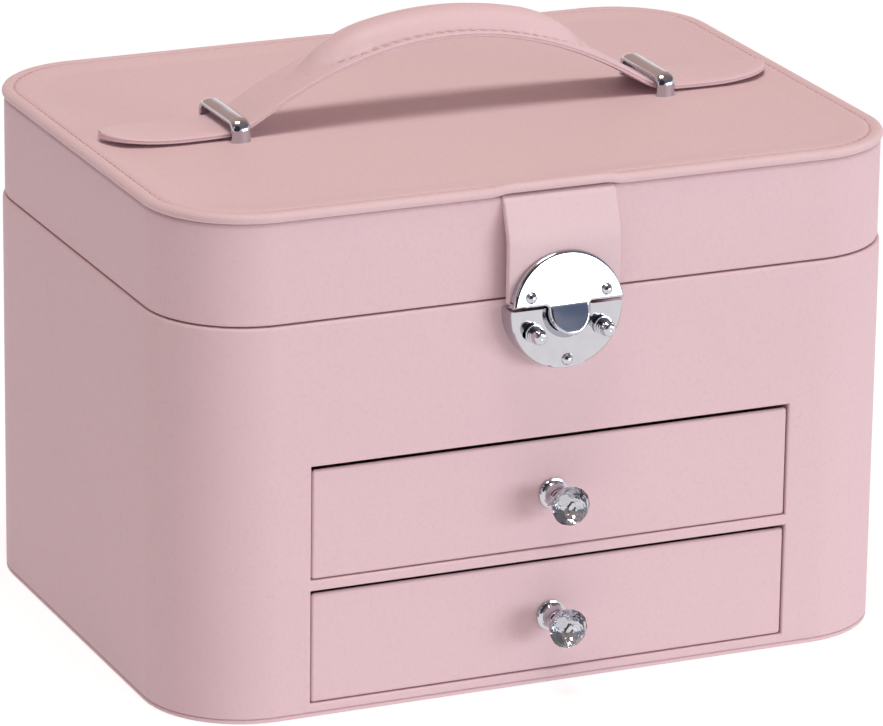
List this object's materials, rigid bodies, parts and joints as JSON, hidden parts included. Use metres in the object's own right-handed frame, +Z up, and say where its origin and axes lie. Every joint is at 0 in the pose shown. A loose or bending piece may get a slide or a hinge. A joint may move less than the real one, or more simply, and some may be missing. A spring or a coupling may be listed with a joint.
{
  "type": "jewelry case",
  "caption": "Wrapped jewelry case with rounded corners, hinged padded lid, strap handle, round lock with sliding knobs and stacked drawers with crystal pulls.",
  "frame": {"origin": "middle of the underside of the base panel, on the surface that the case stands on", "axes": "+X to the right along the width, -Y towards the front with the drawers, +Z up"},
  "size_m": [0.24, 0.1994, 0.1903],
  "materials": {
    "pink_leather": "satin grained wrap",
    "board": "paper-wrapped board",
    "velvet": "short-pile velvet",
    "chrome": "polished",
    "steel": "plated",
    "crystal": "cut and polished",
    "mirror": "silvered glass"
  },
  "bodies": {
    "case": {"base_panel": "pink_leather", "body_shell": "pink_leather", "floor_board": "board", "bay_wall_left": "board", "bay_wall_right": "board", "drawer_shelf": "board", "tray_floor": "velvet", "tray_collar": "velvet", "tray_dividers": "velvet", "tray_cross_dividers": "velvet", "ring_riser": "velvet", "ring_rolls": "velvet", "lock_plate": "chrome", "lock_rivet": "chrome", "lock_back_plate": "steel", "lock_spring": "steel", "hinge_leaf_case_left": "steel", "hinge_leaf_case_right": "steel", "hinge_pin_left": "steel", "hinge_pin_right": "steel", "hinge_screws_case": "steel"},
    "lid": {"lid_frame": "pink_leather", "lid_panel": "pink_leather", "lid_lining": "velvet", "lid_mirror": "mirror", "handle_strap": "pink_leather", "handle_loop_left": "chrome", "handle_loop_right": "chrome", "loop_washers": "steel", "lock_tab": "pink_leather", "hasp_plate": "chrome", "hasp_rivets": "chrome", "hinge_leaf_lid_left": "steel", "hinge_leaf_lid_right": "steel", "hinge_screws_lid": "steel"},
    "knob_left": {"lock_slide_left": "steel", "lock_knob_left": "chrome"},
    "knob_right": {"lock_slide_right": "steel", "lock_knob_right": "chrome"},
    "drawer_upper": {"drawer_front_upper": "pink_leather", "drawer_tray_upper": "board", "drawer_lining_upper": "velvet", "drawer_dividers_upper": "velvet", "pull_base_upper": "chrome", "pull_crystal_upper": "crystal", "pull_screw_upper": "steel"},
    "drawer_lower": {"drawer_front_lower": "pink_leather", "drawer_tray_lower": "board", "drawer_lining_lower": "velvet", "drawer_dividers_lower": "velvet", "pull_base_lower": "chrome", "pull_crystal_lower": "crystal", "pull_screw_lower": "steel"}
  },
  "joints": [
    {"name": "lid_hinge", "type": "hinge", "parent": "case", "child": "lid", "pos_m": [0, 0.0918, 0.12395], "axis": [-1, 0, 0], "range_deg": [0, 100]},
    {"name": "upper_drawer_slide", "type": "slide", "parent": "case", "child": "drawer_upper", "axis": [0, -1, 0], "range_m": [0, 0.12]},
    {"name": "lower_drawer_slide", "type": "slide", "parent": "case", "child": "drawer_lower", "axis": [0, -1, 0], "range_m": [0, 0.12]},
    {"name": "left_knob_slide", "type": "slide", "parent": "case", "child": "knob_left", "axis": [-1, 0, 0], "range_m": [0, 0.002], "stiffness_N_per_m": 400, "deforming": ["lock_spring"]},
    {"name": "right_knob_slide", "type": "slide", "parent": "case", "child": "knob_right", "axis": [1, 0, 0], "range_m": [0, 0.002], "stiffness_N_per_m": 400, "deforming": ["lock_spring"]}
  ]
}
